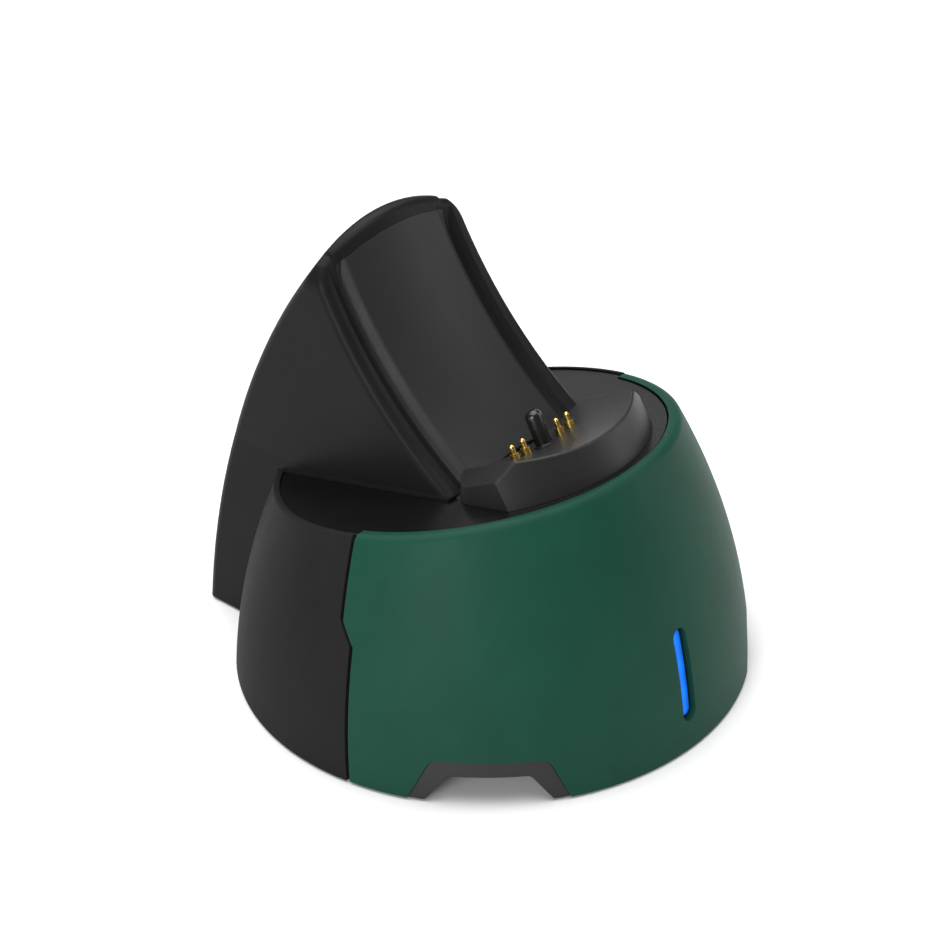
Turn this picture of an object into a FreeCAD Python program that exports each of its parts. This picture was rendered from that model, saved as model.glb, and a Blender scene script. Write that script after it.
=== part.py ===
import FreeCAD, Part
import math
import os

# Charging dock for one hand-held controller: a flattened dome with a tilted deck, a contact ledge
# with four spring pins and a locating peg, and a tall hollow backrest whose tail reaches the table.
# Lengths are millimetres.  Everything is modelled about the middle of the dome's foot, from the
# lower edge of the shells.  When a node is saved it is moved so that the origin is on the table,
# under the middle of the whole footprint: -Y is the front, +X the right seen from the front, +Z up.

V = FreeCAD.Vector

# ---------------------------------------------------------------- driving dimensions
FOOT_PROUD = 0.5            # feet below the shells' lower edge

# dome wall: half width = FOOT_HALF - SLOPE*z - CURVE*z*z, flattened front to back
FOOT_HALF = 48.0
WALL_SLOPE = 0.0531
WALL_CURVE = 0.00494
DEPTH_RATIO = 0.9716
DOME_TOP = 58.0
WALL_T = 2.2
FRONT_SHOULDER_R = 1.6
REAR_SHOULDER_R = 0.8
REAR_LIP = 1.0              # width of the black shell's rim beside the deck

# deck plane
DECK_Z = 42.77
DECK_TILT = 14.69
DECK_SINK = 0.25
DECK_T = 2.4
DECK_GAP = 0.45
LEDGE_RING_IN = 1.9         # how far the shells' support rings stand in from the wall
RING_T = 1.5

# seam between the coloured front shell and the black rear shell, as (y, z) at the side
SEAM = [(2.3, 60.0), (-2.15, 29.0), (-5.2, 25.1), (-7.7, 0.0), (-7.9, -4.0)]
SEAM_GAP = 0.7
TONGUE_REACH = 3.0
TONGUE_T = 1.0

# arched notches in the foot of the front shell
NOTCH_ANGLE = 49.7
NOTCH_FOOT = 11.3
NOTCH_HEAD = 7.2
NOTCH_HEIGHT = 5.3
NOTCH_ROUND = 1.6
TRIM_T = 2.9
NOTCH_END = 31.0
TRIM_END_T = 1.5
TRIM_SINK = 0.35
CLEAR = 0.12

# light slot in the front
SLOT_Z0 = 5.8
SLOT_Z1 = 23.8
SLOT_HALF = 1.7
STRIP_HALF = 1.1
STRIP_INSET = 0.65
STRIP_SINK = 1.15           # the light sits this deep below the dome's surface

# backrest
REST_HALF = 19.3
REST_TOP_HALF = 18.6
TAIL_HALF = 22.3
FLARE_TOP = 36.0
ARCH_SIDE_Z = 76.7
ARCH_TOP_Z = 82.3
ARCH_CORNER_R = 6.0
BACK_AXIS_Y = -9.3
BACK_CENTRE = (-83.44, -4.6)
BACK_R = 148.13
FRONT_CENTRE = (-48.08, 114.75)
FRONT_R = 81.67
REST_WALL = 2.2
REST_SIDE_WALL = 3.0
REST_EDGE_R = 1.6
RIDGE_R = 1.8               # rounding of the ribs' outer edges
BROW_R = 1.4                # rounding between the panel's face and the arch
PANEL_HALF = 14.0           # the seams beside the front panel lie in the grooves' bottoms
PANEL_T = 2.2
PANEL_BULGE = 2.3
PANEL_DROP = 2.2            # rim of the shell above the panel
PANEL_REST = 1.8            # width of the step that the panel lies on
RIB_SKIN = 3.6
PANEL_GAP = 0.04
GROOVE_HALF = 2.6
GROOVE_DEPTH = 1.1
GROOVE_END = -31.1          # angle on the front arc where the groove starts to fade out
GROOVE_FADE_R = 12.0
SKIRT_OUT = 0.6             # bead along the backrest's foot on the deck
SKIRT_HIGH = 0.3

# contact ledge and the seat that the controller stands on
LEDGE_R = 27.9
LEDGE_CENTRE_V = -0.92
LEDGE_DRAFT = 0.26
LEDGE_HALF = 19.4
LEDGE_BACK_Y = -7.0
LEDGE_CORNER_R = 4.2
LEDGE_WALL = 2.0
SEAT_Y = -11.8
SEAT_Z = 48.85
SEAT_TILT = 29.0
SCOOP_R = 48.0
SCOOP_HALF = 15.8
BEVEL_DROP = 2.1

# contact pins and peg, along the seat's normal
PIN_X = [-7.35, -4.5, 4.5, 7.35]
PIN_NAMES = ["left_outer", "left_inner", "right_inner", "right_outer"]
BARREL_R = 0.90
BARREL_TOP = 1.45
BARREL_FOOT = -4.0
BORE_R = 0.66
MOUTH_R = 0.57
MOUTH_T = 0.40
PLUNGER_HEAD_R = 0.60
PLUNGER_R = 0.50
PIN_TIP = 3.15
PIN_TRAVEL = 1.0
HEAD_FOOT = -0.9
PEG_R = 1.55
PEG_COLLAR_R = 1.9          # collar that fills the ledge's hole round the peg
PEG_COLLAR_TOP = 0.2
PEG_TOP = 6.6

# boards
BOARD_T = 1.6
SMALL_BOARD_T = 1.0
MAIN_Z = 6.0
MAIN_HALF = 14.0
MAIN_Y0 = -8.0
MAIN_Y1 = 51.4
PLATE_Z0 = 1.0
PLATE_Z1 = 3.0

PLATE_GAP = 0.3
TAIL_BOARD_HALF = 8.5
TAIL_BOARD_Y = 38.0

# charging inlet in the tail, a USB-C receptacle on the main board
INLET_Y = 54.3
INLET_LENGTH = 7.35
INLET_HALF = 4.47
INLET_RADIUS = 1.63
INLET_Z = MAIN_Z + BOARD_T + INLET_RADIUS
RIBBON_Z = MAIN_Z + BOARD_T + 1.0

# feet
FOOT_R = 4.5
FOOT_POCKET = 0.4
FEET = [(-13.0, -36.0), (13.0, -36.0), (-27.0, 27.0), (27.0, 27.0)]
TAIL_FOOT_R = 3.0
TAIL_FOOT_Y = 50.4

# screws: shank radius, length under the head, head radius, head height
SCREW_HOLE_R = 1.15
BASE_SCREW = (1.20, 9.0, 2.5, 1.2)
SMALL_SCREW = (0.80, 5.4, 1.7, 0.9)
REST_SCREW = (1.00, 8.0, 2.0, 1.1)
TINY_SCREW = (0.55, 2.6, 1.1, 0.6)
BOARD_HOLES = [(-11.4, -5.0), (11.4, -5.0), (-11.4, 33.0), (11.4, 33.0)]
CONTACT_HOLES = [-9.3, 9.3]

# status light behind the slot
LIGHT_BOARD_Y = -38.8
LIGHT_Z = [9.7, 14.8, 19.9]

BIG = 120.0


# ---------------------------------------------------------------- helpers
def save(name, shape):
    """Write one node in the dock's own frame, standing on its feet over the footprint's middle."""
    placed = shape.copy()
    placed.translate(V(0, -MIDDLE_Y, FOOT_PROUD))
    placed.exportStep("parts/" + name + ".step")


def box(x0, x1, y0, y1, z0, z1):
    return Part.makeBox(x1 - x0, y1 - y0, z1 - z0, V(x0, y0, z0))


def tube_solid(radius, low, high, x=0.0, y=0.0):
    return Part.makeCylinder(radius, high - low, V(x, y, low))


def tilted(shape, y, z, tilt):
    """Carry a shape from its own frame to one tilted back about X and set at (0, y, z)."""
    turned = shape.copy()
    turned.rotate(V(0, 0, 0), V(1, 0, 0), -tilt)
    turned.translate(V(0, y, z))
    return turned


def on_deck(shape):
    return tilted(shape, 0.0, DECK_Z, DECK_TILT)


def on_seat(shape):
    return tilted(shape, SEAT_Y, SEAT_Z, SEAT_TILT)


def deck_slab(low, high):
    return on_deck(box(-BIG, BIG, -BIG, BIG, low, high))


def wall_radius(z, inset=0.0):
    return FOOT_HALF - WALL_SLOPE * z - WALL_CURVE * z * z - inset


def prism_x(points, half):
    """Polygon in the YZ plane pushed out to both sides of x = 0."""
    corners = [V(-half, y, z) for y, z in points]
    face = Part.Face(Part.makePolygon(corners + corners[:1]))
    return face.extrude(V(2 * half, 0, 0))


def slot_prism(half, z0, z1, y0, y1):
    """Upright stadium in the XZ plane, pushed along Y."""
    low = z0 + half
    high = z1 - half
    body = box(-half, half, y0, y1, low, high)
    ends = [Part.makeCylinder(half, y1 - y0, V(0, y0, z), V(0, 1, 0)) for z in (low, high)]
    return body.fuse(ends).removeSplitter()


def dome(inset, z0=0.0, z1=DOME_TOP):
    """Solid inside the dome wall, drawn in by inset, between two heights."""
    half = 0.5 * (z1 - z0)
    slope = -WALL_SLOPE - 2 * WALL_CURVE * z0
    curve = Part.BezierCurve()
    curve.setPoles([
        V(wall_radius(z0, inset), 0, z0),
        V(wall_radius(z0, inset) + slope * half, 0, z0 + half),
        V(wall_radius(z1, inset), 0, z1),
    ])
    wall = curve.toShape()
    foot = Part.makeLine(V(0, 0, z0), V(wall_radius(z0, inset), 0, z0))
    top = Part.makeLine(V(wall_radius(z1, inset), 0, z1), V(0, 0, z1))
    axis = Part.makeLine(V(0, 0, z1), V(0, 0, z0))
    face = Part.Face(Part.Wire([foot, wall, top, axis]))
    solid = face.revolve(V(0, 0, 0), V(0, 0, 1), 360)
    flatten = FreeCAD.Matrix()
    flatten.scale(1.0, DEPTH_RATIO, 1.0)
    return solid.transformGeometry(flatten)


def edges_where(shape, test):
    return [edge for edge in shape.Edges if test(edge)]


def inlet_prism(half, radius, y0, y1):
    """Lying stadium about the inlet's axis, pushed along Y."""
    straight = half - radius
    body = box(-straight, straight, y0, y1, INLET_Z - radius, INLET_Z + radius)
    for x in (-straight, straight):
        body = body.fuse(Part.makeCylinder(radius, y1 - y0, V(x, y0, INLET_Z), V(0, 1, 0)))
    return body.removeSplitter()


def screw(sizes):
    """Cross-recessed screw pointing up, with the underside of its head at z = 0."""
    shank_r, length, head_r, head_h = sizes
    head = tube_solid(head_r, -head_h, 0.0)
    face = edges_where(head, lambda e: e.BoundBox.ZMax < -head_h + 0.01)
    head = head.makeFillet(0.4 * head_h, face)
    shank = tube_solid(shank_r, -0.1, length)
    point = edges_where(shank, lambda e: e.BoundBox.ZMin > length - 0.01)
    body = head.fuse(shank.makeChamfer(0.4 * shank_r, point)).removeSplitter()
    arm = 0.55 * head_r
    slit = 0.14 * head_r
    depth = -0.45 * head_h
    body = body.cut(box(-arm, arm, -slit, slit, -head_h - 1.0, depth))
    return body.cut(box(-slit, slit, -arm, arm, -head_h - 1.0, depth))


def moved(shape, x, y, z):
    copy = shape.copy()
    copy.translate(V(x, y, z))
    return copy


def ribbon(points, width, thick, x=0.0):
    """Flat cable of even thickness along a bent line in the YZ plane."""
    left = []
    right = []
    for i, (y, z) in enumerate(points):
        before = points[max(i - 1, 0)]
        after = points[min(i + 1, len(points) - 1)]
        ahead = (after[0] - y, after[1] - z) if after != (y, z) else (y - before[0], z - before[1])
        behind = (y - before[0], z - before[1]) if before != (y, z) else ahead
        a = math.atan2(ahead[1], ahead[0])
        b = math.atan2(behind[1], behind[0])
        turn = math.atan2(math.sin(a - b), math.cos(a - b))
        normal = b + 0.5 * turn + 0.5 * math.pi
        half = 0.5 * thick / math.cos(0.5 * turn)
        left.append((y + half * math.cos(normal), z + half * math.sin(normal)))
        right.append((y - half * math.cos(normal), z - half * math.sin(normal)))
    return moved(prism_x(left + right[::-1], 0.5 * width), x, 0.0, 0.0)


# ---------------------------------------------------------------- base envelope
def base_body(shoulder):
    """Whole base with the deck plane cut and the shoulder rounded."""
    body = dome(0.0).cut(deck_slab(0.0, BIG))
    rim = edges_where(body, lambda e: e.BoundBox.ZMin > 25.0 and e.BoundBox.XLength > 20.0)
    return body.makeFillet(shoulder, rim)


def notch_prism(side, foot, head, height, start, crown_r):
    """Arched prism along a notch's own direction; side is -1 or +1."""
    outline = [V(-foot, 0, -2.0), V(-foot, 0, 0.0), V(-head, 0, height),
               V(head, 0, height), V(foot, 0, 0.0), V(foot, 0, -2.0)]
    face = Part.Face(Part.makePolygon(outline + outline[:1]))
    solid = face.extrude(V(0, start - 60.0, 0))
    crown = edges_where(solid, lambda e: e.BoundBox.ZMin > height - 0.01 and e.BoundBox.YLength > 1.0)
    solid = solid.makeFillet(crown_r, crown)
    solid.translate(V(0, -start, 0))
    solid.rotate(V(0, 0, 0), V(0, 0, 1), side * NOTCH_ANGLE)
    return solid


def notch_hole(side):
    return notch_prism(side, NOTCH_FOOT, NOTCH_HEAD, NOTCH_HEIGHT, NOTCH_END + TRIM_END_T, NOTCH_ROUND)


def notch_outer(side, spare=0.0):
    grow = TRIM_T + spare
    return notch_prism(side, NOTCH_FOOT + grow, NOTCH_HEAD + grow, NOTCH_HEIGHT + grow,
                       NOTCH_END - spare, NOTCH_ROUND + 1.2)


def seam_side(shift, front):
    """Half space in front of (or behind) the stepped seam, moved back by shift."""
    reach = -BIG if front else BIG
    line = [(y + shift, z) for y, z in SEAM]
    return prism_x([(reach, SEAM[0][1])] + line + [(reach, SEAM[-1][1])], BIG)


FRONT_BODY = base_body(FRONT_SHOULDER_R)
REAR_BODY = base_body(REAR_SHOULDER_R)
NOTCHES = notch_outer(-1, CLEAR).fuse(notch_outer(1, CLEAR))
UNDER_DECK = -DECK_SINK - DECK_T - 0.1


def shell_ring(body):
    """Wall of the base with a support ring under the deck and one over the base plate."""
    seat = body.common(dome(WALL_T - 0.1)).cut(dome(WALL_T + LEDGE_RING_IN))
    deck_ring = seat.common(deck_slab(UNDER_DECK - RING_T, UNDER_DECK))
    plate_ring = seat.common(box(-BIG, BIG, -BIG, BIG, PLATE_Z1 + 0.1, PLATE_Z1 + 0.1 + RING_T))
    return body.cut(dome(WALL_T)).fuse([deck_ring, plate_ring])


def front_shell():
    shell = shell_ring(FRONT_BODY).common(seam_side(-0.5 * SEAM_GAP, True)).cut(NOTCHES)
    rib_y = wall_radius(SLOT_Z1) * DEPTH_RATIO
    for x in (-6.2, 4.95):
        rib = box(x, x + 1.25, -rib_y - 4.0, -36.6, PLATE_Z1 + 0.1, SLOT_Z1 + 2.0)
        shell = shell.fuse(rib.common(dome(WALL_T - 0.1)))
    return shell.cut(slot_prism(SLOT_HALF, SLOT_Z0, SLOT_Z1, -60.0, -30.0))


def rear_window():
    return box(-15.6, 15.6, 25.0, 60.0, PLATE_Z1 + 0.1, 22.0)


def rear_shell():
    shell = shell_ring(REAR_BODY).common(seam_side(0.5 * SEAM_GAP, False))
    shell = shell.cut(dome(REAR_LIP).common(deck_slab(UNDER_DECK, BIG)))
    lip_gap = WALL_T + 0.12
    tongue = dome(WALL_T - 0.1).cut(dome(WALL_T + TONGUE_T)).common(seam_side(0.5 * SEAM_GAP, False))
    tongue = tongue.fuse(dome(lip_gap).cut(dome(WALL_T + TONGUE_T)).common(seam_side(TONGUE_REACH, True)))
    tongue = tongue.common(seam_side(TONGUE_REACH, True)).common(seam_side(-TONGUE_REACH, False))
    tongue = tongue.cut(deck_slab(-DECK_SINK - DECK_T - 2.0, BIG))
    tongue = tongue.common(box(-BIG, BIG, -BIG, BIG, PLATE_Z1 + RING_T + 0.3, BIG))
    return shell.fuse(tongue).removeSplitter().cut(rear_window())


def notch_trim(side):
    outside = dome(TRIM_SINK, 0.0, 20.0)
    liner = notch_outer(side).common(outside)
    return liner.cut(notch_hole(side))


# ---------------------------------------------------------------- deck
DECK_POSTS = [(-16.0, -22.0), (16.0, -22.0), (-27.0, 18.0), (27.0, 18.0)]
REST_BOSSES = [(-13.3, 6.0), (13.3, 6.0), (-13.3, 28.0), (13.3, 28.0)]
LEDGE_BOSSES = [(-13.9, -17.0), (13.9, -17.0)]


def deck_outline():
    """Plan of the deck: it stands in from the green lip and reaches further out at the rear."""
    front = dome(WALL_T + DECK_GAP).common(seam_side(0.0, True))
    return front.fuse(dome(REAR_LIP + 0.12).common(seam_side(0.0, False)))


def deck_plate():
    plate = deck_outline().common(deck_slab(-DECK_SINK - DECK_T, -DECK_SINK))
    underside = dome(WALL_T + 2.0).cut(deck_slab(-DECK_SINK - 0.5 * DECK_T, BIG))
    for x, y in DECK_POSTS:
        plate = plate.fuse(tube_solid(3.2, PLATE_Z1, DOME_TOP, x, y).common(underside))
    for x, y in DECK_POSTS:
        plate = plate.cut(tube_solid(1.25, PLATE_Z1 - 1.0, PLATE_Z1 + 12.0, x, y))
    plate = plate.cut(on_deck(box(-11.6, 11.6, -19.5, -8.6, -8.0, 2.0)))
    for x, v in REST_BOSSES + LEDGE_BOSSES:
        plate = plate.cut(on_deck(tube_solid(SCREW_HOLE_R, -6.0, 2.0, x, v)))
    return plate


# ---------------------------------------------------------------- contact ledge
def seat_cutter(drop):
    """Everything above the scooped seat, as a prism along the seat, lowered by drop."""
    rise = SCOOP_R - math.sqrt(SCOOP_R ** 2 - SCOOP_HALF ** 2)
    slope = BEVEL_DROP / (LEDGE_HALF - SCOOP_HALF)
    side = LEDGE_HALF + 8.0
    end = rise - slope * (side - SCOOP_HALF)
    arc = Part.Arc(V(-SCOOP_HALF, 0, rise), V(0, 0, 0), V(SCOOP_HALF, 0, rise)).toShape()
    rest = Part.makePolygon([V(SCOOP_HALF, 0, rise), V(side, 0, end), V(side, 0, 40.0),
                             V(-side, 0, 40.0), V(-side, 0, end), V(-SCOOP_HALF, 0, rise)])
    solid = Part.Face(Part.Wire([arc] + rest.Edges)).extrude(V(0, 80.0, 0))
    solid.translate(V(0, -40.0, -drop))
    return on_seat(solid)


def ledge_block(inset, back_y, drop, foot):
    height = 16.0
    cone = Part.makeCone(LEDGE_R - inset, LEDGE_R - inset - LEDGE_DRAFT * height, height,
                         V(0, LEDGE_CENTRE_V, 0))
    cone.translate(V(0, 0, foot))
    plan = box(-LEDGE_HALF + inset, LEDGE_HALF - inset, -BIG, back_y, 0, BIG)
    corners = edges_where(plan, lambda e: e.BoundBox.ZLength > 1.0 and e.BoundBox.YMin > back_y - 0.01)
    block = on_deck(cone).common(plan.makeFillet(LEDGE_CORNER_R - inset, corners))
    return block.cut(seat_cutter(drop))


def contact_ledge():
    block = ledge_block(0.0, LEDGE_BACK_Y, 0.0, -DECK_SINK)
    front = edges_where(block, lambda e: e.BoundBox.YMax < -16.0 and e.BoundBox.ZMin > 51.0)
    block = block.makeFillet(0.5, front)
    hollow = ledge_block(LEDGE_WALL, LEDGE_BACK_Y - LEDGE_WALL, LEDGE_WALL, -DECK_SINK - 0.5)
    ledge = block.cut(hollow)
    roof = ledge_block(0.3, LEDGE_BACK_Y - 0.3, 0.6, -DECK_SINK)
    for x, v in LEDGE_BOSSES:
        ledge = ledge.fuse(on_deck(tube_solid(2.3, -DECK_SINK, 12.0, x, v)).common(roof))
        ledge = ledge.cut(on_deck(tube_solid(SMALL_SCREW[0] + 0.05, -2.0, 3.6, x, v)))
    for x in CONTACT_HOLES:
        boss = tube_solid(1.6, BARREL_FOOT, -LEDGE_WALL + 1.6, x)
        ledge = ledge.fuse(on_seat(boss)).cut(on_seat(tube_solid(TINY_SCREW[0] + 0.05, -6.0, -1.6, x)))
    for x in PIN_X:
        ledge = ledge.cut(on_seat(tube_solid(BARREL_R + 0.05, -6.0, 6.0, x)))
    return ledge.cut(on_seat(tube_solid(PEG_COLLAR_R + 0.05, -6.0, 6.0)))


def locating_peg():
    shank = tube_solid(PEG_R, 0.0, PEG_TOP)
    tip = edges_where(shank, lambda e: e.BoundBox.ZMin > PEG_TOP - 0.01)
    shank = shank.makeFillet(1.2, tip)
    shank = shank.fuse(tube_solid(PEG_COLLAR_R, -LEDGE_WALL - 0.1, PEG_COLLAR_TOP))
    flange = tube_solid(2.5, -LEDGE_WALL - 1.0, -LEDGE_WALL - 0.05)
    stem = tube_solid(1.2, BARREL_FOOT, -LEDGE_WALL)
    return on_seat(shank.fuse([flange, stem]).removeSplitter())


def pin_barrel(x):
    barrel = tube_solid(BARREL_R, BARREL_FOOT, BARREL_TOP, x)
    tail = tube_solid(0.32, BARREL_FOOT - 1.6, BARREL_FOOT + 0.2, x)
    bore = tube_solid(BORE_R, BARREL_FOOT + 0.7, BARREL_TOP - MOUTH_T, x)
    mouth = tube_solid(MOUTH_R, 0.0, BARREL_TOP + 1.0, x)
    return on_seat(barrel.fuse(tail).cut(bore).cut(mouth))


def pin_plunger(x):
    head = tube_solid(PLUNGER_HEAD_R, HEAD_FOOT, BARREL_TOP - MOUTH_T - 0.03, x)
    shank = tube_solid(PLUNGER_R, HEAD_FOOT, PIN_TIP, x)
    tip = edges_where(shank, lambda e: e.BoundBox.ZMin > PIN_TIP - 0.01)
    shank = shank.makeFillet(PLUNGER_R - 0.03, tip)
    return on_seat(head.fuse(shank).removeSplitter())


def pin_spring(x):
    """Coil between the barrel's floor and the plunger's head."""
    low = BARREL_FOOT + 0.75
    high = HEAD_FOOT - 0.06
    wire = 0.09
    turns = 5
    helix = Part.makeHelix((high - low - 2 * wire) / turns, high - low - 2 * wire, 0.42)
    helix.translate(V(x, 0, low + wire))
    ring = Part.Wire(Part.makeCircle(wire, V(x + 0.42, 0, low + wire), V(0, 1, 0)))
    return on_seat(Part.Wire(helix.Edges).makePipeShell([ring], True, True))


def contact_board():
    board = box(-10.6, 10.6, -4.4, 4.4, BARREL_FOOT - SMALL_BOARD_T, BARREL_FOOT)
    for x in PIN_X:
        board = board.cut(tube_solid(0.40, -8.0, 0.0, x))
    for x in CONTACT_HOLES:
        board = board.cut(tube_solid(TINY_SCREW[0] + 0.1, -8.0, 0.0, x))
    return on_seat(board)


# ---------------------------------------------------------------- backrest
def back_solid(inset):
    """Solid of revolution whose wall is the long outer arc of the backrest."""
    z0 = -2.0
    z1 = 95.0
    radius = BACK_R - inset

    def rho(z):
        return BACK_CENTRE[0] + math.sqrt(radius ** 2 - (z - BACK_CENTRE[1]) ** 2)

    middle = 0.5 * (z0 + z1)
    arc = Part.Arc(V(rho(z0), 0, z0), V(rho(middle), 0, middle), V(rho(z1), 0, z1)).toShape()
    rest = Part.makePolygon([V(rho(z1), 0, z1), V(0, 0, z1), V(0, 0, z0), V(rho(z0), 0, z0)])
    face = Part.Face(Part.Wire([arc] + rest.Edges))
    solid = face.revolve(V(0, 0, 0), V(0, 0, 1), 360)
    solid.translate(V(0, BACK_AXIS_Y, 0))
    return solid


def rest_outline(side, top, foot):
    """Front view of the backrest pushed back from y = -9, drawn in by side and top."""
    start = BACK_AXIS_Y + 0.3
    half = REST_HALF - side
    shoulder = REST_TOP_HALF - side
    tail = TAIL_HALF - side
    left = V(-shoulder, start, ARCH_SIDE_Z - top)
    right = V(shoulder, start, ARCH_SIDE_Z - top)
    arch = Part.Arc(right, V(0, start, ARCH_TOP_Z - top), left).toShape()
    rest = Part.makePolygon([left, V(-half, start, FLARE_TOP), V(-tail, start, foot),
                             V(tail, start, foot), V(half, start, FLARE_TOP), right])
    solid = Part.Face(Part.Wire([arch] + rest.Edges)).extrude(V(0, BIG, 0))
    corners = edges_where(solid, lambda e: e.BoundBox.YLength > 0.5 * BIG and e.BoundBox.ZMin > 60.0)
    return solid.makeFillet(ARCH_CORNER_R - top, corners)


def about_front(wire):
    """Turn a closed profile of (x, distance from the front arc's axis) about that axis."""
    face = Part.Face(wire)
    face.translate(V(0, FRONT_CENTRE[0], FRONT_CENTRE[1]))
    return face.revolve(V(0, FRONT_CENTRE[0], FRONT_CENTRE[1]), V(1, 0, 0), 360)


def front_cutter(offset):
    """Everything in front of the concave front arc, moved back by offset."""
    centre = V(-BIG, FRONT_CENTRE[0], FRONT_CENTRE[1])
    return Part.makeCylinder(FRONT_R + offset, 2 * BIG, centre, V(1, 0, 0))


def panel_front(x):
    """Distance of the panel's bulging face from the front arc's axis."""
    rise = 4 * PANEL_BULGE
    radius = 0.5 * ((2 * PANEL_HALF) ** 2 + rise ** 2) / rise
    return FRONT_R - PANEL_BULGE + radius - math.sqrt(radius ** 2 - x ** 2)


def panel_cutter(offset):
    """Everything in front of the panel's gently bulging face, moved back by offset."""
    half = 2 * PANEL_HALF
    far = panel_front(half) + offset
    bulge = Part.Arc(V(-half, far, 0), V(0, panel_front(0) + offset, 0), V(half, far, 0)).toShape()
    rest = Part.makePolygon([V(half, far, 0), V(half, 0, 0), V(-half, 0, 0), V(-half, far, 0)])
    return about_front(Part.Wire([bulge] + rest.Edges))


def groove_cutter(side):
    """Soft groove beside the panel: it leaves both faces gently and fades out below the arch."""
    x = PANEL_HALF
    inner = x - GROOVE_HALF
    bottom = FRONT_R + GROOVE_DEPTH
    lift = 0.06
    slope = (panel_front(inner + 0.1) - panel_front(inner)) / 0.1
    start = V(inner, panel_front(inner) - lift, 0)
    end = V(x + GROOVE_HALF, FRONT_R - lift, 0)
    handle = 0.5 * GROOVE_HALF
    down = Part.BezierCurve()
    down.setPoles([start, V(inner + handle, start.y + slope * handle, 0), V(x - handle, bottom, 0),
                   V(x, bottom, 0)])
    up = Part.BezierCurve()
    up.setPoles([V(x, bottom, 0), V(x + handle, bottom, 0), V(end.x - handle, end.y, 0), end])
    front = FRONT_R - 6.0
    rest = Part.makePolygon([end, V(end.x, front, 0), V(inner, front, 0), start])
    wire = Part.Wire([down.toShape(), up.toShape()] + rest.Edges)
    if side < 0:
        wire = wire.mirror(V(0, 0, 0), V(1, 0, 0))
    return about_front(wire).common(groove_run())


def groove_run():
    """Side view of the grooves: full depth up to GROOVE_END, then a round run-out."""
    def at(angle, distance):
        turn = math.radians(angle)
        return (FRONT_CENTRE[0] + distance * math.cos(turn), FRONT_CENTRE[1] + distance * math.sin(turn))

    reach = 2 * FRONT_R
    wedge = prism_x([at(0, 0), at(-100, reach), at(-60, reach), at(GROOVE_END, reach)], BIG)
    y, z = at(GROOVE_END, FRONT_R + GROOVE_DEPTH - GROOVE_FADE_R)
    return wedge.fuse(Part.makeCylinder(GROOVE_FADE_R, 2 * BIG, V(-BIG, y, z), V(1, 0, 0)))


def panel_zone(grow):
    """Room of the front panel, grown by a clearance."""
    half = PANEL_HALF - 0.5 * PANEL_GAP + grow
    zone = rest_outline(0.0, PANEL_DROP - grow, 0.0).common(box(-half, half, -BIG, BIG, 30.0, BIG))
    return zone.common(panel_cutter(PANEL_T + grow))


def rest_envelope():
    """Backrest with no hollow: rounded edges, and a soft groove on each side of the panel."""
    block = back_solid(0.0).common(rest_outline(0.0, 0.0, 0.0))
    back = edges_where(block, lambda e: on_back(e) and e.BoundBox.ZMax > 1.0)
    block = block.makeFillet(REST_EDGE_R, back)
    middle = box(-PANEL_HALF, PANEL_HALF, -BIG, BIG, -1.0 * BIG, BIG)
    panel = block.common(middle).cut(panel_cutter(0.0))
    brow = edges_where(panel, on_brow)
    body = panel.makeFillet(BROW_R, brow)
    for side in (-1, 1):
        half = box(0, BIG, -BIG, BIG, -BIG, BIG) if side > 0 else box(-BIG, 0, -BIG, BIG, -BIG, BIG)
        rib = block.common(half).cut(middle).cut(front_cutter(0.0))
        rib = rib.makeFillet(RIDGE_R, edges_where(rib, on_ridge))
        body = body.fuse(rib)
    return body.cut([groove_cutter(-1), groove_cutter(1)])


def edge_middle(edge):
    return edge.valueAt(0.5 * (edge.FirstParameter + edge.LastParameter))


def on_back(edge):
    """True where an edge's middle lies on the backrest's long outer arc."""
    point = edge_middle(edge)
    rho = math.hypot(point.x, point.y - BACK_AXIS_Y)
    return abs(math.hypot(rho - BACK_CENTRE[0], point.z - BACK_CENTRE[1]) - BACK_R) < 0.01


def front_distance(point):
    return math.hypot(point.y - FRONT_CENTRE[0], point.z - FRONT_CENTRE[1])


def on_ridge(edge):
    """True for the outer and upper edges of a rib's concave front."""
    point = edge_middle(edge)
    return abs(front_distance(point) - FRONT_R) < 0.01 and abs(point.x) > PANEL_HALF + 0.3


def on_brow(edge):
    """True for the edges between the panel's face and the top of the arch."""
    point = edge_middle(edge)
    crossing = edge.BoundBox.XLength > 0.3
    return crossing and point.z > 70.0 and front_distance(point) < FRONT_R - 0.001


def base_keepout():
    """Room that the base takes out of the backrest."""
    room = dome(-0.06).cut(deck_slab(0.06, BIG))
    return room.cut(deck_outline().common(deck_slab(-DECK_SINK, 3.0)))


def skirt():
    """Low bead along the backrest's foot on the deck."""
    bead = rest_outline(-SKIRT_OUT, 0.0, 0.0).common(deck_slab(-DECK_SINK, SKIRT_HIGH))
    return bead.cut(front_cutter(-SKIRT_OUT)).cut(rest_outline(1.5, 0.0, 0.0)).common(dome(0.5))


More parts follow.
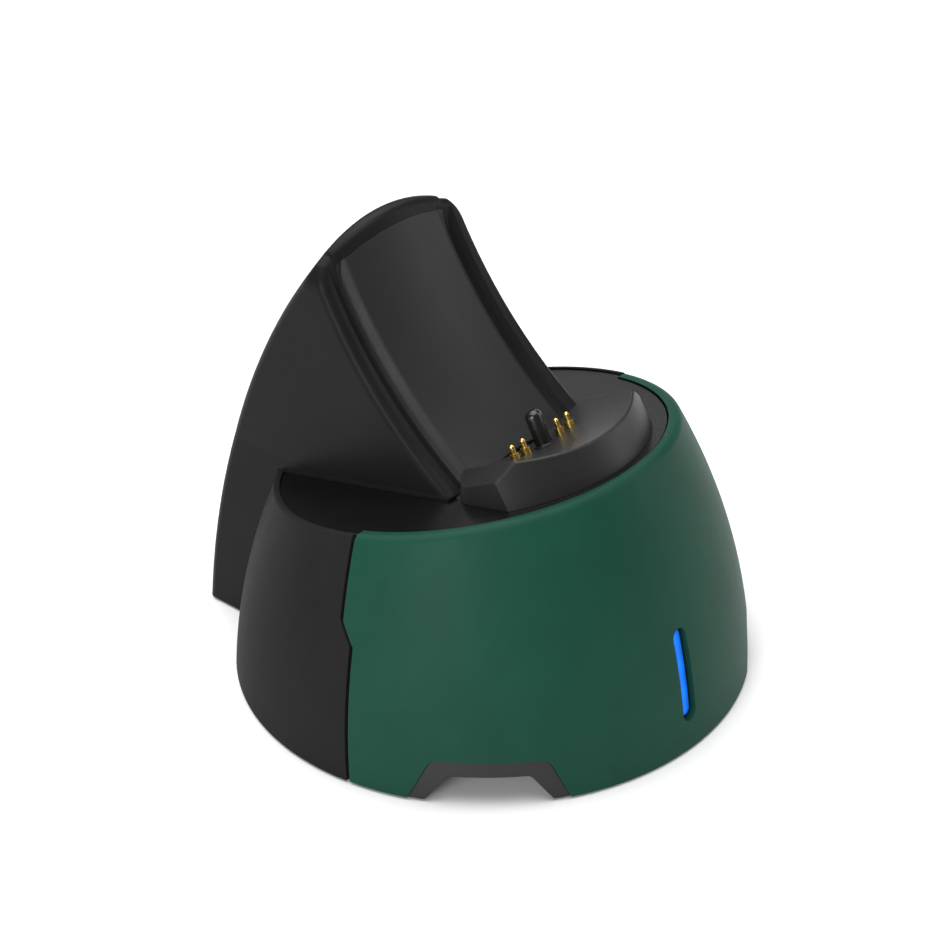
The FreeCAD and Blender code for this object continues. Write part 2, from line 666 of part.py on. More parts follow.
def backrest_shell():
    inner = back_solid(REST_WALL).common(rest_outline(REST_SIDE_WALL, REST_WALL, REST_WALL))
    opening = PANEL_HALF - PANEL_REST
    window = rest_outline(0.0, PANEL_DROP + PANEL_REST, 0.0).common(box(-opening, opening, -BIG, BIG, 0, BIG))
    window = window.common(front_cutter(RIB_SKIN + 1.0))
    shell = ENVELOPE.fuse(skirt()).cut(inner.cut(front_cutter(RIB_SKIN))).cut(window)
    for x, v in REST_BOSSES:
        boss = on_deck(tube_solid(3.1, -DECK_SINK, 7.2, x, v)).cut(front_cutter(1.0))
        shell = shell.fuse(boss).cut(on_deck(tube_solid(1.05, -2.0, 6.0, x, v)))
    shell = shell.cut(base_keepout()).cut(panel_zone(PANEL_GAP)).cut(BEFORE_REST)
    shell = shell.cut(inlet_prism(4.75, 1.9, 45.0, 60.0))
    shell = shell.cut(inlet_prism(6.3, 3.4, INLET_Y - 0.1, 60.0))
    return shell.cut(tube_solid(TAIL_FOOT_R + 0.1, -1.0, FOOT_POCKET, 0.0, TAIL_FOOT_Y))


def front_panel():
    panel = ENVELOPE.common(panel_zone(0.0)).cut(deck_slab(-60.0, CLEAR - DECK_SINK))
    return panel.cut(BEFORE_REST)


BEFORE_REST = box(-BIG, BIG, -BIG, LEDGE_BACK_Y + CLEAR, 0, BIG)
ENVELOPE = rest_envelope()


# ---------------------------------------------------------------- base plate and feet
def base_plate():
    plate = dome(WALL_T + PLATE_GAP).common(box(-BIG, BIG, -BIG, BIG, PLATE_Z0, PLATE_Z1))
    for x, y in BOARD_HOLES:
        plate = plate.fuse(tube_solid(2.6, PLATE_Z1 - 0.2, MAIN_Z, x, y))
        plate = plate.cut(tube_solid(SMALL_SCREW[0] + 0.05, PLATE_Z0 + 0.8, MAIN_Z + 1.0, x, y))
    for x, y in DECK_POSTS:
        plate = plate.cut(tube_solid(BASE_SCREW[0] + 0.15, 0.0, 10.0, x, y))
        plate = plate.cut(tube_solid(BASE_SCREW[2] + 0.2, 0.0, PLATE_Z0 + BASE_SCREW[3] + 0.1, x, y))
    for x, y in FEET:
        plate = plate.cut(tube_solid(FOOT_R + 0.1, 0.0, PLATE_Z0 + FOOT_POCKET, x, y))
    return plate.cut(NOTCHES)


def rubber_feet():
    pads = [tube_solid(FOOT_R, -FOOT_PROUD, PLATE_Z0 + FOOT_POCKET, x, y) for x, y in FEET]
    pads.append(tube_solid(TAIL_FOOT_R, -FOOT_PROUD, FOOT_POCKET, 0.0, TAIL_FOOT_Y))
    rounded = []
    for pad in pads:
        tread = edges_where(pad, lambda e: e.BoundBox.ZMax < -FOOT_PROUD + 0.01)
        rounded.append(pad.makeFillet(0.25, tread))
    return Part.makeCompound(rounded)


# ---------------------------------------------------------------- electronics
def main_board():
    board = box(-MAIN_HALF, MAIN_HALF, MAIN_Y0, TAIL_BOARD_Y, MAIN_Z, MAIN_Z + BOARD_T)
    tail = box(-TAIL_BOARD_HALF, TAIL_BOARD_HALF, TAIL_BOARD_Y - 1.0, MAIN_Y1, MAIN_Z, MAIN_Z + BOARD_T)
    board = board.fuse(tail).removeSplitter()
    for x, y in BOARD_HOLES:
        board = board.cut(tube_solid(SMALL_SCREW[0] + 0.15, 0.0, 20.0, x, y))
    return board


def usb_inlet():
    """Receptacle: stadium shell, closed at the back, with its contact tongue."""
    start = INLET_Y - INLET_LENGTH
    shell = inlet_prism(INLET_HALF, INLET_RADIUS, start, INLET_Y)
    shell = shell.cut(inlet_prism(INLET_HALF - 0.3, INLET_RADIUS - 0.3, start + 1.2, INLET_Y + 1.0))
    tongue = box(-3.34, 3.34, start + 1.0, INLET_Y - 0.9, INLET_Z - 0.35, INLET_Z + 0.35)
    return shell.fuse(tongue)


def on_board(x, y, half_x, half_y, height):
    """Block standing on the main board."""
    top = MAIN_Z + BOARD_T
    return box(x - half_x, x + half_x, y - half_y, y + half_y, top, top + height)


def board_chips():
    chips = []
    for x, y, half in ((0.0, 24.0, 2.5), (-5.5, 12.0, 1.6)):
        chip = on_board(x, y, half, half, 0.9)
        mark = Part.makeCylinder(0.3, 1.0, V(x - half + 0.8, y + half - 0.8, MAIN_Z + BOARD_T + 0.8))
        chips.append(chip.cut(mark))
    return Part.makeCompound(chips)


def power_inductor():
    block = on_board(6.5, 24.0, 2.6, 2.6, 2.8)
    uprights = edges_where(block, lambda e: e.BoundBox.ZLength > 2.0)
    return block.makeFillet(0.8, uprights)


def board_capacitors():
    places = [(-4.6, 22.2), (-4.6, 24.0), (-4.6, 25.8), (4.0, 16.5), (0.0, 16.5), (-9.0, 12.0)]
    small = [on_board(x, y, 0.8, 0.4, 0.8) for x, y in places]
    tall = [on_board(x, 31.0, 1.75, 1.4, 1.9) for x in (-4.0, 4.0)]
    return Part.makeCompound(small + tall)


def ribbon_socket(x, y):
    slot = box(x - 3.1, x + 3.1, y - 2.0, y + 0.6, RIBBON_Z - 0.2, RIBBON_Z + 0.2)
    return on_board(x, y, 4.1, 1.6, 2.0).cut(slot)


def ribbon_sockets():
    return Part.makeCompound([ribbon_socket(CONTACT_RIBBON_X, 2.0), ribbon_socket(LIGHT_RIBBON_X, 2.0)])


CONTACT_RIBBON_X = 6.0
LIGHT_RIBBON_X = -2.6
CONTACT_RIBBON = [(2.4, RIBBON_Z), (-3.0, RIBBON_Z), (-7.0, 12.6), (-10.6, 24.0), (-12.6, 36.0),
                  (-13.6, 42.9)]
LIGHT_RIBBON = [(2.4, RIBBON_Z), (-9.6, RIBBON_Z), (-17.0, 4.6), (-33.4, 4.6), (-36.4, 6.6),
                (-37.5, 9.0)]


def status_board():
    return box(-4.9, 4.9, LIGHT_BOARD_Y, LIGHT_BOARD_Y + SMALL_BOARD_T, 4.9, 25.0)


def status_leds():
    lamps = [box(-1.6, 1.6, LIGHT_BOARD_Y - 1.0, LIGHT_BOARD_Y, z - 1.4, z + 1.4) for z in LIGHT_Z]
    return Part.makeCompound(lamps)


def light_strip(half, z0, z1, front, back):
    """Upright stadium between two drawn-in copies of the dome wall; no back means to the lamps."""
    solid = slot_prism(half, z0, z1, -60.0, LIGHT_BOARD_Y - 1.05)
    solid = solid.common(dome(front, 0.0, 40.0))
    if back:
        solid = solid.cut(dome(back, 0.0, 40.0))
    return solid


def slot_bezel():
    """Dark insert that fills the slot, with a flange behind the wall."""
    back = WALL_T + 1.0
    face = light_strip(SLOT_HALF - 0.05, SLOT_Z0 + 0.05, SLOT_Z1 - 0.05, STRIP_SINK + 0.15, back)
    flange = light_strip(SLOT_HALF + 0.9, SLOT_Z0 - 0.9, SLOT_Z1 + 0.9, WALL_T + 0.05, back)
    low = SLOT_Z0 + STRIP_INSET - 0.04
    high = SLOT_Z1 - STRIP_INSET + 0.04
    return face.fuse(flange).cut(slot_prism(STRIP_HALF + 0.04, low, high, -60.0, -30.0))


def light_guide():
    return light_strip(STRIP_HALF, SLOT_Z0 + STRIP_INSET, SLOT_Z1 - STRIP_INSET, STRIP_SINK, 0.0)


# ---------------------------------------------------------------- screws
def deck_screws(places, sizes):
    """Screws that come up through the deck plate, square to the deck."""
    under = -DECK_SINK - DECK_T
    return Part.makeCompound([on_deck(moved(screw(sizes), x, v, under)) for x, v in places])


def base_screws():
    seat = PLATE_Z0 + BASE_SCREW[3] + 0.1
    return Part.makeCompound([moved(screw(BASE_SCREW), x, y, seat) for x, y in DECK_POSTS])


def board_screws():
    turned = screw(SMALL_SCREW)
    turned.rotate(V(0, 0, 0), V(1, 0, 0), 180)
    return Part.makeCompound([moved(turned, x, y, MAIN_Z + BOARD_T) for x, y in BOARD_HOLES])


def contact_screws():
    seat = BARREL_FOOT - SMALL_BOARD_T
    return Part.makeCompound([on_seat(moved(screw(TINY_SCREW), x, 0.0, seat)) for x in CONTACT_HOLES])


# ---------------------------------------------------------------- write every node
REAR_Y = BACK_AXIS_Y + BACK_CENTRE[0] + math.sqrt(BACK_R ** 2 - BACK_CENTRE[1] ** 2)
MIDDLE_Y = 0.5 * (REAR_Y - FOOT_HALF * DEPTH_RATIO)

os.makedirs("parts", exist_ok=True)

save("front_shell", front_shell())
save("rear_shell", rear_shell())
save("notch_trim_left", notch_trim(-1))
save("notch_trim_right", notch_trim(1))
save("deck_plate", deck_plate())
save("base_plate", base_plate())
save("rubber_feet", rubber_feet())
save("backrest_shell", backrest_shell())
save("backrest_front_panel", front_panel())

save("contact_ledge", contact_ledge())
save("locating_peg", locating_peg())
save("pin_barrels", Part.makeCompound([pin_barrel(x) for x in PIN_X]))
for pin_x, pin_name in zip(PIN_X, PIN_NAMES):
    save("contact_pin_" + pin_name, pin_plunger(pin_x))
    save("pin_spring_" + pin_name, pin_spring(pin_x))
save("contact_board", contact_board())
save("contact_ribbon", ribbon(CONTACT_RIBBON, 6.0, 0.3, CONTACT_RIBBON_X))

save("main_board", main_board())
save("usb_inlet", usb_inlet())
save("board_chips", board_chips())
save("power_inductor", power_inductor())
save("board_capacitors", board_capacitors())
save("ribbon_sockets", ribbon_sockets())

save("status_board", status_board())
save("status_leds", status_leds())
save("status_ribbon", ribbon(LIGHT_RIBBON, 4.4, 0.3, LIGHT_RIBBON_X))
save("slot_bezel", slot_bezel())
save("light_guide", light_guide())

save("base_screws", base_screws())
save("board_screws", board_screws())
save("backrest_screws", deck_screws(REST_BOSSES, REST_SCREW))
save("ledge_screws", deck_screws(LEDGE_BOSSES, SMALL_SCREW))
save("contact_board_screws", contact_screws())
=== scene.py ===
import math

import bpy
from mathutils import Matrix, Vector


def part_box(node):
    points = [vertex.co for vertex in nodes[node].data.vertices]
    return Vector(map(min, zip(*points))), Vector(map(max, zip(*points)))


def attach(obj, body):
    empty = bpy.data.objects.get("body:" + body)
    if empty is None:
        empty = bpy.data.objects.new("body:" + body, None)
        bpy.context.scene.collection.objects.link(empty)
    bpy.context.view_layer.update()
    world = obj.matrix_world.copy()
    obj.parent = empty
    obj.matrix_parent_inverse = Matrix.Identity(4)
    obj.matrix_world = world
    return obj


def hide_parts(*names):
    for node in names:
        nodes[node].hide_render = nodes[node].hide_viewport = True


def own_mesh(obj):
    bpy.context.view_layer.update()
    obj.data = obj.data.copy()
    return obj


# Looks of the controller charging dock.  The shapes come from the CAD frame: this script gives
# every node its material, puts finer coils in place of the four contact springs, and sets the
# stage.  Lengths are metres unless a name or comment says otherwise; colours are linear.

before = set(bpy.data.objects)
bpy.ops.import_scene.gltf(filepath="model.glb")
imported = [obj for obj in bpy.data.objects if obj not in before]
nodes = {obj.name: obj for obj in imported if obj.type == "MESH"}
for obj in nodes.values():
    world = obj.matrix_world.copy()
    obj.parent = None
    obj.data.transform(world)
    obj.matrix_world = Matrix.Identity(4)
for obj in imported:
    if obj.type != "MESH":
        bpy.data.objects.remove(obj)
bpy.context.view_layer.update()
scene = bpy.context.scene

MM = 0.001

# The seat leans back: the pins, the peg and the springs stand along its normal.
SEAT_TILT = math.radians(29.0)
SEAT_UP = Vector((0.0, math.sin(SEAT_TILT), math.cos(SEAT_TILT)))

# Contact springs: length at rest, radius of the coil to the wire's middle, radius of the wire,
# turns, and the rise of a closed turn, just over the wire's thickness.
SPRING_LENGTH = 2.29 * MM
SPRING_R = 0.42 * MM
SPRING_WIRE_R = 0.085 * MM
SPRING_TURNS = 7
CLOSED_PITCH = 2.1 * SPRING_WIRE_R
STEPS_PER_TURN = 28
WIRE_SIDES = 10

# Base colours of the front shell and of every dark plastic, and the status light.
GREEN = (0.0064, 0.049, 0.0305, 1.0)
BLACK = (0.0105, 0.0105, 0.0112, 1.0)
GLOW_COLOR = (0.0, 0.175, 1.0, 1.0)
GLOW_STRENGTH = 1.2
LAMP_SPACING = 5.1 * MM

# Stage.
FLOOR_HALF = 9.0
WORLD_STRENGTH = 0.24
CAMERA_PLACE = (-0.39877, -0.35144, 0.37272)
CAMERA_AIM = (0.01054, 0.00941, 0.02736)
CAMERA_LENS_MM = 132.6
CAMERA_SENSOR_MM = 36.0


# ---------------------------------------------------------------- node helpers
class Net:
    """A material's node tree, with short calls to add and join nodes."""

    def __init__(self, name):
        self.material = bpy.data.materials.new(name)
        self.material.use_nodes = True
        self.tree = self.material.node_tree
        self.shader = self.tree.nodes["Principled BSDF"]

    def add(self, kind, inputs=None, **settings):
        node = self.tree.nodes.new("ShaderNode" + kind)
        for key, value in settings.items():
            setattr(node, key, value)
        for key, value in (inputs or {}).items():
            self.feed(node.inputs[key], value)
        return node

    def feed(self, socket, value):
        if isinstance(value, bpy.types.NodeSocket):
            self.tree.links.new(value, socket)
        else:
            socket.default_value = value

    def set(self, **values):
        for key, value in values.items():
            self.feed(self.shader.inputs[key.replace("_", " ")], value)

    def math(self, operation, a, b=0.0, clamp=False):
        node = self.add("Math", {0: a, 1: b}, operation=operation, use_clamp=clamp)
        return node.outputs[0]

    def ramp(self, value, low, high, start=0.0, end=1.0):
        """Maps low..high onto start..end, held outside it."""
        node = self.add("MapRange", {"Value": value, "From Min": low, "From Max": high,
                                     "To Min": start, "To Max": end})
        return node.outputs["Result"]

    def mix(self, factor, a, b):
        """Colour a where the factor is 0 and colour b where it is 1."""
        node = self.add("Mix", data_type="RGBA")
        self.feed(node.inputs[0], factor)
        self.feed(node.inputs[6], a)
        self.feed(node.inputs[7], b)
        return node.outputs[2]

    def here(self):
        """Object coordinates, which are the frame's own metres."""
        return self.add("TexCoord").outputs["Object"]

    def place(self, scale, turn):
        """Object coordinates, scaled and then turned."""
        node = self.add("Mapping", {"Vector": self.here(), "Rotation": turn, "Scale": scale})
        return node.outputs["Vector"]

    def noise(self, scale, detail=3.0, rough=0.5, at=None):
        inputs = {"Scale": scale, "Detail": detail, "Roughness": rough, "Vector": at or self.here()}
        return self.add("TexNoise", inputs).outputs["Fac"]

    def cells(self, scale):
        """Distance to the nearest of many scattered points."""
        inputs = {"Scale": scale, "Vector": self.here()}
        return self.add("TexVoronoi", inputs).outputs["Distance"]

    def edges(self, radius):
        """1 on edges sharper than the radius, 0 on open faces."""
        soft = self.rounded(radius)
        flat = self.add("NewGeometry").outputs["Normal"]
        dot = self.add("VectorMath", {0: soft, 1: flat}, operation="DOT_PRODUCT").outputs["Value"]
        return self.ramp(dot, 0.995, 0.90)

    def rounded(self, radius):
        """Normal with its edges rounded by the radius."""
        return self.add("Bevel", {"Radius": radius}, samples=4).outputs["Normal"]

    def relief(self, height, depth, strength=1.0, round_edges=0.0):
        """Feeds the shader's normal with a bump of the given depth, over softened edges."""
        inputs = {"Height": height, "Distance": depth, "Strength": strength}
        if round_edges:
            inputs["Normal"] = self.rounded(round_edges)
        self.set(Normal=self.add("Bump", inputs).outputs["Normal"])


def tint(color, factor):
    """The colour made darker or lighter by the factor."""
    return tuple(min(1.0, c * factor) for c in color[:3]) + (1.0,)


# ---------------------------------------------------------------- materials
def moulded(name, color, rough, specular, grain=0.010, grain_scale=2600.0, worn=1.5, coat=0.0,
            round_edges=0.25):
    """Spark-textured moulded plastic: fine grain, faint mottling, rubbed edges, handling marks.

    grain is the depth of its bumps and round_edges the radius of its edges, both in millimetres;
    worn is how many times lighter a rubbed edge is.
    """
    net = Net(name)
    fine = net.noise(grain_scale, 4.0, 0.62)
    pits = net.ramp(net.cells(grain_scale * 0.55), 0.05, 0.55)
    mottle = net.noise(55.0, 4.0, 0.6)
    strokes = net.place((1.0, 1.0, 0.35), (0.3, 0.2, 0.6))
    marks = net.ramp(net.noise(140.0, 5.0, 0.7, strokes), 0.52, 0.72)
    patches = net.ramp(net.noise(420.0, 4.0), 0.38, 0.62)
    rubbed = net.math("MULTIPLY", net.edges(0.45 * MM), patches)
    base = net.mix(net.ramp(mottle, 0.3, 0.7), tint(color, 0.90), tint(color, 1.10))
    base = net.mix(net.math("MULTIPLY", rubbed, 0.55), base, tint(color, worn))
    gloss = net.ramp(fine, 0.3, 0.7, rough - 0.035, rough + 0.045)
    gloss = net.math("SUBTRACT", gloss, net.math("MULTIPLY", rubbed, 0.10))
    gloss = net.math("SUBTRACT", gloss, net.math("MULTIPLY", marks, 0.035), clamp=True)
    net.set(Base_Color=base, Roughness=gloss, Specular_IOR_Level=specular)
    if coat:
        net.set(Coat_Weight=coat, Coat_Roughness=0.16)
    height = net.math("ADD", net.math("MULTIPLY", fine, 0.7), net.math("MULTIPLY", pits, 0.5))
    net.relief(height, grain * MM, 0.8, round_edges * MM)
    return net.material


def plated(name, color, rough, turn=0.0, rings=0.0):
    """Plated or drawn metal: fine level lines, stains, and rubbed edges.

    rings is the scale of turned rings, if any, and turn how far the turned piece leans back.
    """
    net = Net(name)
    lean = (turn, 0.0, 0.0)
    at = net.place((1.0, 1.0, 1.0), lean)
    lines = net.noise(5200.0, 3.0, 0.6, net.place((0.15, 0.15, 1.0), lean))
    stain = net.noise(700.0, 4.0, 0.6, at)
    base = net.mix(net.ramp(stain, 0.35, 0.7), tint(color, 0.82), tint(color, 1.08))
    base = net.mix(net.edges(0.06 * MM), base, tint(color, 1.25))
    gloss = net.ramp(lines, 0.3, 0.7, rough - 0.06, rough + 0.10)
    net.set(Base_Color=base, Metallic=1.0, Roughness=gloss)
    height = lines
    if rings:
        wave = net.add("TexWave", {"Scale": rings, "Distortion": 0.4, "Vector": at},
                       bands_direction="Z")
        height = net.math("ADD", lines, net.math("MULTIPLY", wave.outputs["Fac"], 2.0))
    net.relief(height, 0.004 * MM, 0.7)
    return net.material


def rubber(name, color):
    """Dull rubber with a little pale dust on it."""
    net = Net(name)
    fine = net.noise(3200.0, 5.0, 0.7)
    dust = net.ramp(net.noise(260.0, 6.0, 0.75), 0.55, 0.75)
    base = net.mix(net.math("MULTIPLY", dust, 0.35), color, (0.09, 0.085, 0.08, 1.0))
    net.set(Base_Color=base, Roughness=net.ramp(fine, 0.3, 0.7, 0.78, 0.92),
            Specular_IOR_Level=0.35)
    net.relief(fine, 0.02 * MM, 0.9)
    return net.material


def circuit(name):
    """Solder mask over copper: tracks as slightly raised, lighter lines, and bare vias."""
    net = Net(name)
    weave = net.noise(1800.0, 3.0, 0.6)
    black = (0.0, 0.0, 0.0, 1.0)
    white = (1.0, 1.0, 1.0, 1.0)
    layout = {"Scale": 170.0, "Mortar Size": 0.06, "Brick Width": 0.9, "Row Height": 0.22,
              "Color1": black, "Color2": black, "Mortar": white, "Vector": net.here()}
    tracks = net.add("TexBrick", layout).outputs["Color"]
    vias = net.ramp(net.cells(330.0), 0.12, 0.09)
    tone = net.ramp(weave, 0.3, 0.7)
    mask = net.mix(tone, (0.008, 0.060, 0.022, 1.0), (0.012, 0.082, 0.030, 1.0))
    mask = net.mix(net.math("MULTIPLY", tracks, 0.8), mask, (0.022, 0.145, 0.050, 1.0))
    base = net.mix(vias, mask, (0.75, 0.58, 0.28, 1.0))
    net.set(Base_Color=base, Metallic=net.math("MULTIPLY", vias, 0.9),
            Roughness=net.ramp(weave, 0.3, 0.7, 0.26, 0.36))
    net.relief(net.math("ADD", tracks, net.math("MULTIPLY", weave, 0.3)), 0.03 * MM, 0.6)
    return net.material


def ribbon(name):
    """Flat cable: copper lines show through a pale film, side by side across X."""
    net = Net(name)
    lines = {"Scale": 320.0, "Vector": net.here()}
    wave = net.add("TexWave", lines, bands_direction="X").outputs["Fac"]
    film = net.noise(900.0, 3.0)
    base = net.mix(net.ramp(wave, 0.35, 0.65), (0.62, 0.58, 0.50, 1.0), (0.55, 0.33, 0.20, 1.0))
    net.set(Base_Color=base, Roughness=net.ramp(film, 0.3, 0.7, 0.28, 0.42))
    net.relief(wave, 0.04 * MM, 0.6)
    return net.material


def glow(name):
    """Frosted guide lit from behind: brightest along the middle, in soft bands spaced as the lamps."""
    net = Net(name)
    low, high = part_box("light_guide")
    bottom = low[2]
    top = high[2]
    fade = 0.9 * MM
    where = net.add("SeparateXYZ", {0: net.here()}).outputs
    middle = net.ramp(net.math("ABSOLUTE", where["X"]), 0.75 * MM, 0.15 * MM, 0.62, 1.0)
    lamps = net.math("SINE", net.math("MULTIPLY", where["Z"], 2.0 * math.pi / LAMP_SPACING))
    lamps = net.ramp(lamps, -1.0, 1.0, 0.86, 1.06)
    grain = net.noise(2400.0, 3.0)
    frost = net.ramp(grain, 0.3, 0.7, 0.95, 1.05)
    ends = net.math("MINIMUM", net.ramp(where["Z"], bottom, bottom + fade, 0.55, 1.0),
                    net.ramp(where["Z"], top, top - fade, 0.55, 1.0))
    level = net.math("MULTIPLY", middle, lamps)
    level = net.math("MULTIPLY", level, net.math("MULTIPLY", frost, ends))
    net.set(Base_Color=(0.002, 0.03, 0.12, 1.0), Roughness=0.4, Specular_IOR_Level=0.15,
            Emission_Color=GLOW_COLOR, Emission_Strength=net.math("MULTIPLY", level, GLOW_STRENGTH))
    net.relief(grain, 0.006 * MM, 0.6)
    return net.material


looks = {
    "green": moulded("green_soft_touch", GREEN, 0.50, 0.10, grain=0.008, grain_scale=3000.0,
                     worn=1.4),
    "black": moulded("black_shell_plastic", tint(BLACK, 1.3), 0.55, 0.035),
    "fin": moulded("backrest_plastic", tint(BLACK, 0.85), 0.38, 0.07),
    "panel": moulded("front_panel_plastic", tint(BLACK, 0.9), 0.50, 0.26, grain_scale=2400.0),
    "deck": moulded("deck_plastic", tint(BLACK, 0.25), 0.22, 0.95, grain=0.002,
                    grain_scale=5200.0, worn=2.0),
    "ledge": moulded("ledge_plastic", BLACK, 0.44, 0.32, grain=0.009, worn=2.2),
    "trim": moulded("notch_trim_plastic", tint(BLACK, 0.8), 0.48, 0.40),
    "bezel": moulded("slot_insert_plastic", tint(BLACK, 0.5), 0.38, 0.40, grain=0.006),
    "plate": moulded("base_plate_plastic", tint(BLACK, 1.3), 0.60, 0.35, grain=0.020,
                     grain_scale=1500.0),
    "peg": moulded("peg_plastic", tint(BLACK, 0.6), 0.22, 0.45, grain=0.002,
                   grain_scale=3400.0, worn=2.0, coat=0.15),
    "chip": moulded("chip_resin", (0.014, 0.014, 0.016, 1.0), 0.62, 0.35, grain=0.012,
                    grain_scale=4200.0, worn=1.8, round_edges=0.05),
    "ceramic": moulded("capacitor_ceramic", (0.36, 0.24, 0.14, 1.0), 0.45, 0.40,
                       grain_scale=4200.0, worn=2.0, round_edges=0.08),
    "nylon": moulded("socket_nylon", (0.55, 0.50, 0.38, 1.0), 0.50, 0.40, grain=0.012,
                     worn=1.2, round_edges=0.08),
    "lamp": moulded("lamp_resin", (0.70, 0.66, 0.42, 1.0), 0.35, 0.50, grain=0.006,
                    grain_scale=3600.0, worn=1.1, round_edges=0.08),
    "gold": plated("gold_plate", (0.86, 0.60, 0.17, 1.0), 0.24, turn=SEAT_TILT, rings=900.0),
    "nickel": plated("nickel_plate", (0.60, 0.59, 0.57, 1.0), 0.26),
    "steel": plated("spring_wire", (0.48, 0.48, 0.47, 1.0), 0.30, turn=SEAT_TILT),
    "screw": plated("black_zinc_screw", (0.085, 0.085, 0.09, 1.0), 0.38),
    "rubber": rubber("foot_rubber", (0.016, 0.016, 0.016, 1.0)),
    "circuit": circuit("circuit_board"),
    "ribbon": ribbon("flat_cable_film"),
    "glow": glow("blue_light_guide"),
}

worn_by = {
    "green": ["front_shell"],
    "black": ["rear_shell"],
    "fin": ["backrest_shell"],
    "panel": ["backrest_front_panel"],
    "deck": ["deck_plate"],
    "ledge": ["contact_ledge"],
    "trim": ["notch_trim_left", "notch_trim_right"],
    "bezel": ["slot_bezel"],
    "plate": ["base_plate"],
    "peg": ["locating_peg"],
    "chip": ["board_chips", "power_inductor"],
    "ceramic": ["board_capacitors"],
    "nylon": ["ribbon_sockets"],
    "lamp": ["status_leds"],
    "gold": ["pin_barrels"] + [n for n in nodes if n.startswith("contact_pin_")],
    "nickel": ["usb_inlet"],
    "steel": [n for n in nodes if n.startswith("pin_spring_")],
    "screw": [n for n in nodes if n.endswith("_screws")],
    "rubber": ["rubber_feet"],
    "circuit": ["main_board", "contact_board", "status_board"],
    "ribbon": ["contact_ribbon", "status_ribbon"],
    "glow": ["light_guide"],
}
for look, names in worn_by.items():
    for node_name in names:
        for material_slot in nodes[node_name].material_slots:
            material_slot.material = looks[look]


# ---------------------------------------------------------------- contact springs
def spring_height(turn):
    """Height of the wire's middle after so many turns: the first and last turns lie closed."""
    low = SPRING_WIRE_R
    high = SPRING_LENGTH - SPRING_WIRE_R
    if turn < 1:
        return low + turn * CLOSED_PITCH
    if turn > SPRING_TURNS - 1:
        return high - (SPRING_TURNS - turn) * CLOSED_PITCH
    share = (turn - 1) / (SPRING_TURNS - 2)
    return low + CLOSED_PITCH + share * (high - low - 2 * CLOSED_PITCH)


def spring_mesh(name, foot):
    """Wire wound round the seat's normal, with closed end turns and flat wire ends."""
    steps = STEPS_PER_TURN * SPRING_TURNS
    side_way = Vector((1.0, 0.0, 0.0))
    back_way = SEAT_UP.cross(side_way)
    points = []
    for step in range(steps + 1):
        turn = step / STEPS_PER_TURN
        angle = 2 * math.pi * turn
        outward = math.cos(angle) * side_way + math.sin(angle) * back_way
        centre = foot + SPRING_R * outward + spring_height(turn) * SEAT_UP
        for side in range(WIRE_SIDES):
            round_wire = 2 * math.pi * side / WIRE_SIDES
            offset = math.cos(round_wire) * outward + math.sin(round_wire) * SEAT_UP
            points.append(centre + SPRING_WIRE_R * offset)
    faces = []
    for step in range(steps):
        for side in range(WIRE_SIDES):
            a = step * WIRE_SIDES + side
            b = step * WIRE_SIDES + (side + 1) % WIRE_SIDES
            faces.append((a, a + WIRE_SIDES, b + WIRE_SIDES, b))
    last = steps * WIRE_SIDES
    faces.append(tuple(range(WIRE_SIDES)))
    faces.append(tuple(range(last, last + WIRE_SIDES))[::-1])
    mesh = bpy.data.meshes.new(name)
    mesh.from_pydata(points, [], faces)
    for face in mesh.polygons:
        face.use_smooth = len(face.vertices) == 4
    mesh.materials.append(looks["steel"])
    return mesh


def contact_spring(pin):
    """Coil that stands for a contact pin's CAD spring, which it hides."""
    node = "pin_spring_" + pin
    low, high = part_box(node)
    foot = 0.5 * (Vector(low) + Vector(high)) - 0.5 * SPRING_LENGTH * SEAT_UP
    coil = bpy.data.objects.new("coil_" + pin, spring_mesh("coil_" + pin, foot))
    scene.collection.objects.link(coil)
    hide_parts(node)
    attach(coil, "dock")
    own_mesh(coil)


for pin_name in ("left_outer", "left_inner", "right_inner", "right_outer"):
    contact_spring(pin_name)


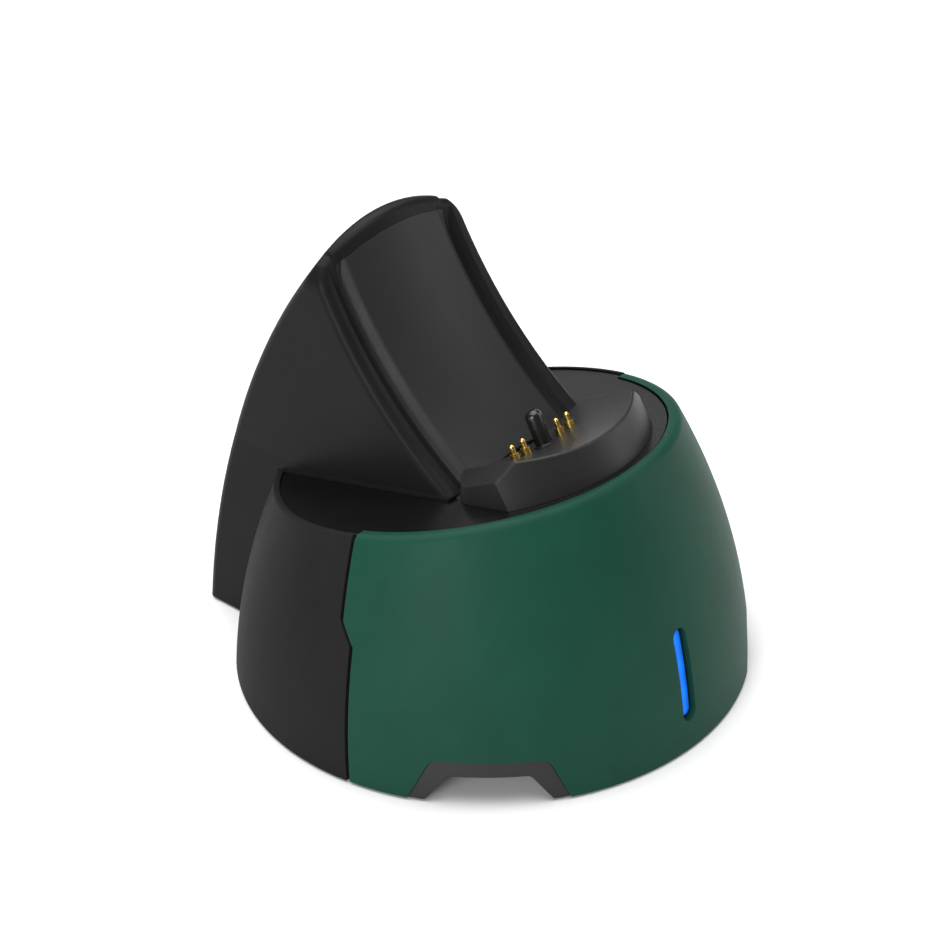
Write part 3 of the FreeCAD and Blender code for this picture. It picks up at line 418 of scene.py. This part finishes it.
# ---------------------------------------------------------------- stage, camera and lights
def stage_floor():
    """Wide pale floor at the height that the feet stand on."""
    corners = [(x * FLOOR_HALF, y * FLOOR_HALF, 0.0) for x, y in ((-1, -1), (1, -1), (1, 1), (-1, 1))]
    mesh = bpy.data.meshes.new("floor")
    mesh.from_pydata(corners, [], [(0, 1, 2, 3)])
    floor = bpy.data.objects.new("floor", mesh)
    scene.collection.objects.link(floor)
    net = Net("pale_floor")
    tone = net.ramp(net.noise(14.0, 3.0), 0.3, 0.7)
    base = net.mix(tone, (0.86, 0.86, 0.86, 1.0), (0.88, 0.88, 0.88, 1.0))
    net.set(Base_Color=base, Roughness=0.9, Specular_IOR_Level=0.1)
    mesh.materials.append(net.material)


def aim(thing, place, target):
    """Puts a lamp or camera at the place, looking at the target."""
    thing.location = place
    thing.rotation_euler = (Vector(target) - Vector(place)).to_track_quat("-Z", "Y").to_euler()


def softbox(name, place, target, width, height, power):
    """White rectangular lamp; its power is in watts."""
    data = bpy.data.lights.new(name, "AREA")
    data.shape = "RECTANGLE"
    data.size = width
    data.size_y = height
    data.energy = power
    lamp = bpy.data.objects.new(name, data)
    scene.collection.objects.link(lamp)
    aim(lamp, place, target)


def studio_camera():
    data = bpy.data.cameras.new("camera")
    data.sensor_width = CAMERA_SENSOR_MM
    data.lens = CAMERA_LENS_MM
    data.clip_start = 0.01
    data.clip_end = 60.0
    camera = bpy.data.objects.new("camera", data)
    scene.collection.objects.link(camera)
    aim(camera, CAMERA_PLACE, CAMERA_AIM)
    scene.camera = camera


def studio_world():
    """Even white light from all round, and plain colour with no film look."""
    world = bpy.data.worlds.new("studio")
    scene.world = world
    world.use_nodes = True
    background = world.node_tree.nodes["Background"].inputs
    background["Color"].default_value = (1.0, 1.0, 1.0, 1.0)
    background["Strength"].default_value = WORLD_STRENGTH
    scene.view_settings.view_transform = "Standard"
    scene.view_settings.look = "None"


stage_floor()
studio_camera()
softbox("overhead", (0.0, 0.15, 1.1), (0.0, 0.0, 0.0), width=1.3, height=1.3, power=18.5)
softbox("left_box", (-1.0, -0.30, 0.35), (0.0, 0.0, 0.04), width=0.5, height=0.6, power=7.5)
softbox("right_box", (0.75, -0.55, 0.40), (0.0, 0.0, 0.04), width=0.35, height=0.8, power=2.6)
softbox("rear_strip", (0.25, 0.60, 0.55), (0.0, 0.0, 0.05), width=0.9, height=0.12, power=2.0)
studio_world()
